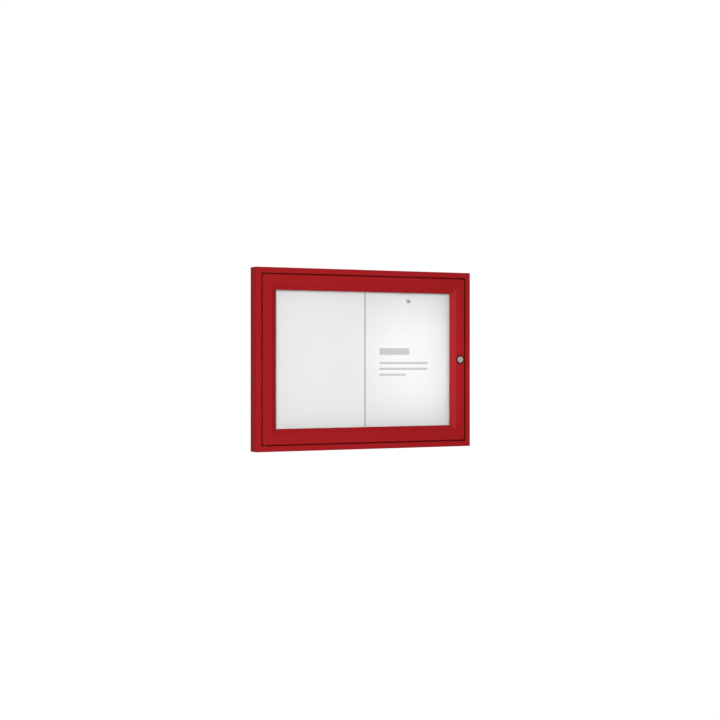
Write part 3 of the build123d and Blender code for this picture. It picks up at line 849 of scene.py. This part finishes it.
class NOTICECASE_OT_fit_beads(bpy.types.Operator):
    """Finish the beads that clamp the pane"""

    bl_idname = "notice_case.fit_beads"
    bl_label = "Fit the beads"

    def execute(self, context):
        dress(extruded_pvc(), *[f"glazing_bead_{side.split('_')[1]}" for side in SIDES])
        return {"FINISHED"}


class NOTICECASE_OT_enamel_panel(bpy.types.Operator):
    """Enamel the back panel"""

    bl_idname = "notice_case.enamel_panel"
    bl_label = "Enamel the panel"

    def execute(self, context):
        dress(enamelled_steel(context.scene.notice_case.panel), "back_panel")
        return {"FINISHED"}


class NOTICECASE_OT_print_sheet(bpy.types.Operator):
    """Print the notice sheet"""

    bl_idname = "notice_case.print_sheet"
    bl_label = "Print the sheet"

    def execute(self, context):
        dress(printed_paper(context.scene.notice_case.sheet), "notice_sheet")
        return {"FINISHED"}


class NOTICECASE_OT_finish_magnet(bpy.types.Operator):
    """Finish the foot and the grip of the magnet"""

    bl_idname = "notice_case.finish_magnet"
    bl_label = "Finish the magnet"

    def execute(self, context):
        dress(plated_magnet(), "magnet_foot")
        dress(moulded_grip(), "magnet_grip")
        return {"FINISHED"}


class NOTICECASE_OT_finish_keys(bpy.types.Operator):
    """Finish the corner keys of the case and the door"""

    bl_idname = "notice_case.finish_keys"
    bl_label = "Finish the corner keys"

    def execute(self, context):
        cast = cast_aluminium()
        for ring in ("case", "door"):
            dress(cast, *[f"{ring}_key_{corner}" for corner in CORNERS])
        return {"FINISHED"}


class NOTICECASE_OT_finish_pivots(bpy.types.Operator):
    """Finish the pins and the bushes of the concealed pivots"""

    bl_idname = "notice_case.finish_pivots"
    bl_label = "Finish the pivots"

    def execute(self, context):
        dress(zinc_plate(), "pivot_pin_top", "pivot_pin_bottom")
        dress(acetal(), "pivot_bush_top", "pivot_bush_bottom")
        return {"FINISHED"}


class NOTICECASE_OT_finish_lock(bpy.types.Operator):
    """Finish the pieces of the cam lock"""

    bl_idname = "notice_case.finish_lock"
    bl_label = "Finish the lock"

    def execute(self, context):
        dress(satin_nickel(), "lock_housing", "lock_plug")
        dress(zinc_plate(), "lock_cam", "lock_nut")
        dress(moulded_rubber(), "lock_washer")
        return {"FINISHED"}


class NOTICECASE_OT_make_wards(bpy.types.Operator):
    """Model the two wards in the lock's keyway"""

    bl_idname = "notice_case.make_wards"
    bl_label = "Make the wards"

    def execute(self, context):
        sizes = context.scene.notice_case.lock
        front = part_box("lock_plug")[0][1]
        hub = middle("lock_plug")
        # One ward is modelled about the plug's axis, and its copy lies across the keyway, half a turn on
        aside = (sizes.keyway_width - sizes.ward_reach) / 2
        deep = front - hub.y + sizes.ward_setback + sizes.ward_depth / 2
        ward = box_block(
            (sizes.ward_reach, sizes.ward_depth, sizes.ward_height), (aside, deep, sizes.ward_offset)
        )
        round_edges(ward, width=sizes.ward_reach / 4, segments=2)
        wards = spread(ward, [tuple(hub), tuple(hub)], math.pi, "keyway_wards")
        bpy.ops.transform.rotate(value=sizes.keyway_tilt, orient_axis="Y", center_override=tuple(hub))
        settle(wards)
        finish_piece(wards, None, "lock_core", satin_nickel())
        return {"FINISHED"}


class NOTICECASE_OT_make_screws(bpy.types.Operator):
    """Model the screws of the corners, the back panel and the cam"""

    bl_idname = "notice_case.make_screws"
    bl_label = "Make the screws"

    def execute(self, context):
        sizes = context.scene.notice_case.screws
        steel = zinc_plate()

        screw = model_screw(sizes.case_radius, sizes.case_head, sizes.case_reach, sizes.case_crown)
        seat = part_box("case_corner_screws")[1][1] - sizes.case_crown
        places = corner_places(HALF_WIDTH, HALF_HEIGHT, sizes.case_along, sizes.case_inward, seat)
        screws = spread(screw, places, SCREW_TURN, "case_corner_pan_screws")
        finish_piece(screws, "case_corner_screws", "case", steel)

        screw = model_screw(sizes.door_radius, sizes.door_head, sizes.door_reach)
        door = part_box("door_rail_top")[1]
        places = corner_places(door[0], door[2], sizes.door_along, sizes.door_inward, door[1])
        screws = spread(screw, places, SCREW_TURN, "door_corner_flat_screws")
        finish_piece(screws, "door_corner_screws", "door", steel)

        screw = model_screw(sizes.panel_radius, sizes.panel_head, sizes.panel_reach)
        places = panel_places(sizes.panel_inset, sizes.panel_spacing)
        screws = spread(screw, places, SCREW_TURN, "back_panel_flat_screws")
        finish_piece(screws, "back_panel_screws", "case", steel)

        screw = model_screw(sizes.cam_radius, sizes.cam_head, sizes.cam_reach, sizes.cam_crown)
        hub = middle("cam_screw")
        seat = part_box("cam_screw")[1][1] - sizes.cam_crown
        screws = spread(screw, [(hub.x, seat, hub.z)], SCREW_TURN, "cam_pan_screw")
        finish_piece(screws, "cam_screw", "lock_core", steel)
        return {"FINISHED"}


class NOTICECASE_OT_make_seal(bpy.types.Operator):
    """Model the foam seal on the case's stop flange, with its rounded edges"""

    bl_idname = "notice_case.make_seal"
    bl_label = "Make the seal"

    def execute(self, context):
        sizes = context.scene.notice_case.seal
        low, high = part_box("door_seal")
        middle_y = (low[1] + high[1]) / 2
        bpy.ops.object.select_all(action="DESELECT")
        bpy.ops.mesh.primitive_plane_add(
            size=1.0, location=(0, middle_y, 0), rotation=(math.radians(90), 0, 0)
        )
        bpy.ops.transform.resize(value=(high[0] - low[0], 1.0, high[2] - low[2]))
        seal = bpy.context.object
        seal.name = "door_foam_seal"
        seal.data.name = seal.name
        settle(seal)
        bpy.ops.object.mode_set(mode="EDIT")
        bpy.ops.mesh.select_all(action="SELECT")
        bpy.ops.mesh.inset(thickness=sizes.strip)
        bpy.ops.mesh.delete(type="FACE")
        bpy.ops.object.mode_set(mode="OBJECT")
        wall = seal.modifiers.new("wall", "SOLIDIFY")
        wall.thickness = high[1] - low[1]
        wall.offset = 0.0
        bpy.ops.object.modifier_apply(modifier=wall.name)
        round_edges(seal, width=sizes.rounding, segments=3)
        # The strip is interrupted beside the lock, so that the nut and the cam have room to turn
        lock = middle("lock_nut")
        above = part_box("lock_nut")[1][2] + sizes.clearance
        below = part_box("lock_cam")[0][2] - sizes.clearance
        cutter_width = 8 * sizes.strip
        cutter_depth = 2 * sizes.strip
        gap = box_block(
            (cutter_width, cutter_depth, above - below), (lock.x, middle_y, (above + below) / 2)
        )
        cut_away(seal, gap)
        finish_piece(seal, "door_seal", "case", moulded_rubber())
        return {"FINISHED"}


def aim(thing, target):
    """Turn a light or the camera towards a point."""
    thing.rotation_euler = (Vector(target) - thing.location).to_track_quat("-Z", "Y").to_euler()


def add_light(kind, name, place, target, watts, size):
    """A white light of a kind, aimed at a point."""
    bpy.ops.object.select_all(action="DESELECT")
    bpy.ops.object.light_add(type=kind, location=place)
    light = bpy.context.object
    light.name = name
    light.data.energy = watts
    if kind == "AREA":
        light.data.size = size
    else:
        light.data.shadow_soft_size = size
    aim(light, target)
    return light


def lay_floor(settings, ahead):
    """A floor that ends behind the case, just before it would come into the camera's view."""
    bpy.ops.object.select_all(action="DESELECT")
    bpy.ops.mesh.primitive_plane_add(
        size=settings.floor_size,
        location=ahead * (settings.floor_end - settings.floor_size / 2) - Vector((0, 0, settings.floor_drop)),
        rotation=(0, 0, -settings.azimuth),
    )
    floor = bpy.context.object
    floor.name = "studio_floor"
    floor.data.materials.append(floor_paint(settings))


def light_room(scene, settings):
    """A dim room with a wide white backdrop behind the case, turned away from its left side."""
    world = bpy.data.worlds.new("studio_room")
    scene.world = world
    world.use_nodes = True
    tree = world.node_tree
    tree.nodes.clear()
    look = add_node(tree, "ShaderNodeTexCoord").outputs["Generated"]
    axes = add_node(tree, "ShaderNodeSeparateXYZ", {"Vector": look})
    walls = add_node(
        tree, "ShaderNodeMapRange",
        {
            "Value": axes.outputs["Y"],
            "From Min": -0.3,
            "From Max": 0.1,
            "To Min": settings.ambient,
            "To Max": settings.rear,
        },
        interpolation_type="SMOOTHSTEP",
    )
    rearward = (math.sin(settings.backdrop_turn), math.cos(settings.backdrop_turn), 0.0)
    facing = add_node(tree, "ShaderNodeVectorMath", {0: look, 1: rearward}, operation="DOT_PRODUCT")
    backdrop = add_node(
        tree, "ShaderNodeMapRange",
        {
            "Value": facing.outputs["Value"],
            "From Min": math.cos(settings.backdrop_edge),
            "From Max": math.cos(settings.backdrop_white),
            "To Min": 0.0,
            "To Max": settings.backdrop,
        },
        interpolation_type="SMOOTHSTEP",
    )
    brighter = add_node(
        tree, "ShaderNodeMath", {0: walls.outputs["Result"], 1: backdrop.outputs["Result"]},
        operation="MAXIMUM",
    )
    room = add_node(
        tree, "ShaderNodeBackground", {"Color": linear("#FFFFFF"), "Strength": brighter.outputs[0]}
    )
    add_node(tree, "ShaderNodeOutputWorld", {"Surface": room.outputs["Background"]})


def hang_lights(settings):
    """Three broad lights on the case, and a soft spot on the sheet."""
    case = (0, 0, 0)
    key = add_light("AREA", "key_light", settings.key_place, case, settings.key, settings.key_size)
    key.data.spread = settings.key_spread
    add_light("AREA", "side_light", settings.fill_place, case, settings.fill, settings.fill_size)
    add_light("AREA", "top_light", settings.top_place, case, settings.top, settings.top_size)
    spot = middle("notice_sheet") + Vector((settings.glow_shift, 0, 0))
    glow = add_light("SPOT", "sheet_glow", settings.glow_place, spot, settings.glow, settings.glow_size)
    glow.data.spot_size = settings.glow_spread
    glow.data.spot_blend = 1.0


def stand_camera(scene, settings, ahead):
    """The camera of the photograph."""
    target = Vector(settings.target)
    bpy.ops.object.camera_add(location=target - ahead * settings.distance)
    camera = bpy.context.object
    camera.name = "photo_camera"
    camera.data.sensor_width = 36.0
    camera.data.lens = settings.lens
    aim(camera, target)
    scene.camera = camera


class NOTICECASE_OT_set_stage(bpy.types.Operator):
    """Set up the floor, the room, the lights and the camera"""

    bl_idname = "notice_case.set_stage"
    bl_label = "Set the stage"

    def execute(self, context):
        scene = context.scene
        settings = scene.notice_case.stage
        scene.view_settings.view_transform = "Standard"
        ahead = Vector((math.sin(settings.azimuth), math.cos(settings.azimuth), 0.0))
        lay_floor(settings, ahead)
        light_room(scene, settings)
        hang_lights(settings)
        stand_camera(scene, settings, ahead)
        return {"FINISHED"}


class NOTICECASE_PT_tools(bpy.types.Panel):
    """Steps and settings of the notice case"""

    bl_label = "Notice case"
    bl_idname = "NOTICECASE_PT_tools"
    bl_space_type = "VIEW_3D"
    bl_region_type = "UI"
    bl_category = "Notice case"

    def draw(self, context):
        for step in STEPS:
            self.layout.operator(step.bl_idname)
        settings = context.scene.notice_case
        for name in ("coat", "panel", "sheet", "screws", "seal", "lock", "stage"):
            part = getattr(settings, name)
            box = self.layout.box()
            box.label(text=name.capitalize())
            for prop in part.bl_rna.properties:
                if prop.identifier not in {"rna_type", "name"}:
                    box.prop(part, prop.identifier)


SETTINGS = (
    CoatSettings,
    PanelSettings,
    SheetSettings,
    ScrewSettings,
    SealSettings,
    LockSettings,
    StageSettings,
    NoticeCaseSettings,
)
STEPS = (
    NOTICECASE_OT_coat_bars,
    NOTICECASE_OT_fit_pane,
    NOTICECASE_OT_fit_gasket,
    NOTICECASE_OT_fit_beads,
    NOTICECASE_OT_enamel_panel,
    NOTICECASE_OT_print_sheet,
    NOTICECASE_OT_finish_magnet,
    NOTICECASE_OT_finish_keys,
    NOTICECASE_OT_finish_pivots,
    NOTICECASE_OT_finish_lock,
    NOTICECASE_OT_make_wards,
    NOTICECASE_OT_make_screws,
    NOTICECASE_OT_make_seal,
    NOTICECASE_OT_set_stage,
)
CLASSES = (*SETTINGS, *STEPS, NOTICECASE_PT_tools)


def register():
    for made in CLASSES:
        bpy.utils.register_class(made)
    bpy.types.Scene.notice_case = group("Notice case", NoticeCaseSettings, "Settings of the notice case")


def unregister():
    del bpy.types.Scene.notice_case
    for made in reversed(CLASSES):
        bpy.utils.unregister_class(made)


def main():
    register()
    bpy.ops.notice_case.coat_bars()
    bpy.ops.notice_case.fit_pane()
    bpy.ops.notice_case.fit_gasket()
    bpy.ops.notice_case.fit_beads()
    bpy.ops.notice_case.enamel_panel()
    bpy.ops.notice_case.print_sheet()
    bpy.ops.notice_case.finish_magnet()
    bpy.ops.notice_case.finish_keys()
    bpy.ops.notice_case.finish_pivots()
    bpy.ops.notice_case.finish_lock()
    bpy.ops.notice_case.make_wards()
    bpy.ops.notice_case.make_screws()
    bpy.ops.notice_case.make_seal()
    bpy.ops.notice_case.set_stage()


if __name__ == "__main__":
    main()
